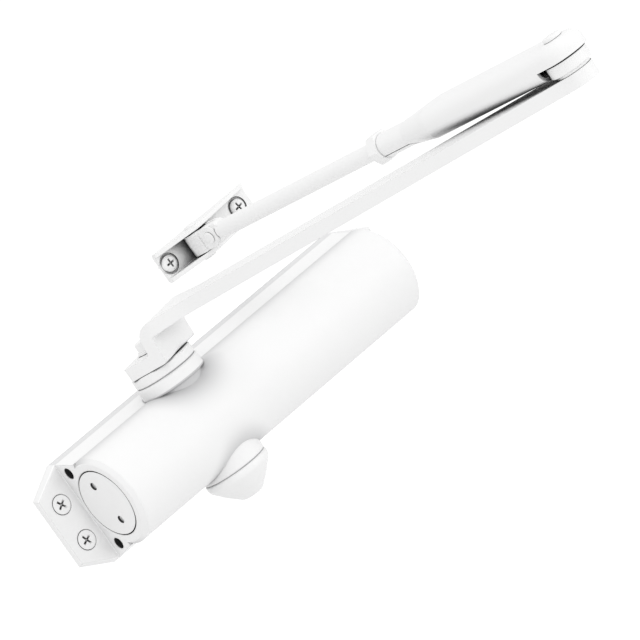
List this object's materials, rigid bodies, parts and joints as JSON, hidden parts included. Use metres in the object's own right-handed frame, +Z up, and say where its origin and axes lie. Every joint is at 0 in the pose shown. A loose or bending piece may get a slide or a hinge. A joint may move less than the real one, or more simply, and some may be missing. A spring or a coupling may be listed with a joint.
{
  "type": "overhead door closer",
  "caption": "White overhead door closer: barrel body on a flanged back plate, spindle with a folding cranked arm, adjustable forearm rod and a U-shaped frame bracket.",
  "frame": {"origin": "middle of the four body screws, on the back face of the plate that lies on the door", "axes": "+X along the body from the valve end to the spring end, +Y out of the back face into the door, +Z up along the spindle to the arm"},
  "size_m": [0.222, 0.2886, 0.1093],
  "materials": {
    "body_paint": "white powder coat on cast aluminium",
    "cap_paint": "white powder coat, smooth",
    "plug_paint": "white powder coat on a turned plug",
    "arm_paint": "white powder coat on pressed steel",
    "screw_paint": "white painted steel fasteners",
    "machined_steel": "machined, oiled",
    "valve_steel": "turned, black oxide",
    "spring_steel": "drawn spring wire, oiled",
    "bearing_bronze": "plain bronze bush",
    "seal_rubber": "black nitrile rubber"
  },
  "bodies": {
    "body": {"housing": "body_paint", "body_screws": "screw_paint", "valve_end_plug": "plug_paint", "spring_end_plug": "plug_paint", "valve_end_oring": "seal_rubber", "spring_end_oring": "seal_rubber", "upper_bearing": "bearing_bronze", "lower_bearing": "bearing_bronze", "upper_seal": "seal_rubber", "lower_seal": "seal_rubber", "bearing_cover": "body_paint", "bottom_cap": "cap_paint", "main_spring": "spring_steel"},
    "piston": {"rack_piston": "machined_steel", "check_valve_ball": "machined_steel", "check_valve_retainer": "machined_steel"},
    "arm": {"pinion_spindle": "machined_steel", "main_arm": "arm_paint", "arm_washer": "screw_paint", "arm_bolt": "screw_paint", "elbow_pin": "screw_paint", "elbow_spacer": "arm_paint"},
    "forearm": {"forearm_sleeve": "arm_paint"},
    "nut": {"lock_nut": "screw_paint"},
    "rod": {"forearm_rod": "arm_paint", "rod_eye": "arm_paint", "eye_rivet": "screw_paint"},
    "bracket": {"frame_bracket": "arm_paint", "bracket_pin": "screw_paint", "bracket_screws": "screw_paint"},
    "upper_valve": {"upper_valve_screw": "valve_steel", "upper_valve_oring": "seal_rubber"},
    "lower_valve": {"lower_valve_screw": "valve_steel", "lower_valve_oring": "seal_rubber"}
  },
  "joints": [
    {"name": "spindle_turn", "type": "hinge", "parent": "body", "child": "arm", "pos_m": [-0.03, -0.023, 0], "axis": [0, 0, 1], "range_deg": [0, 170], "stiffness_Nm_per_rad": 3, "springref_deg": -57.3},
    {"name": "piston_slide", "type": "slide", "parent": "body", "child": "piston", "axis": [1, 0, 0], "range_m": [0, 0.0238], "deforming": ["main_spring"]},
    {"name": "elbow_turn", "type": "hinge", "parent": "arm", "child": "forearm", "pos_m": [0.07084, -0.26644, 0.0608], "axis": [0, 0, 1], "range_deg": [-160, 20]},
    {"name": "nut_turn", "type": "hinge", "parent": "forearm", "child": "nut", "pos_m": [0.05225, -0.14182, 0.0608], "axis": [-0.1475, 0.9891, 0], "range_deg": [0, 180]},
    {"name": "rod_extend", "type": "slide", "parent": "forearm", "child": "rod", "axis": [-0.1475, 0.9891, 0], "range_m": [-0.015, 0.025]},
    {"name": "bracket_turn", "type": "hinge", "parent": "rod", "child": "bracket", "pos_m": [0.0323, -0.008, 0.0608], "axis": [0, 0, 1], "range_deg": [-70, 60]},
    {"name": "upper_valve_turn", "type": "hinge", "parent": "body", "child": "upper_valve", "pos_m": [-0.091, -0.0111, 0.0188], "axis": [1, 0, 0], "range_deg": [-180, 180]},
    {"name": "lower_valve_turn", "type": "hinge", "parent": "body", "child": "lower_valve", "pos_m": [-0.091, -0.0111, -0.0188], "axis": [1, 0, 0], "range_deg": [-180, 180]}
  ],
  "couplings": [
    {"joint": "piston_slide", "follows": "spindle_turn", "m_per_rad": 0.008}
  ]
}
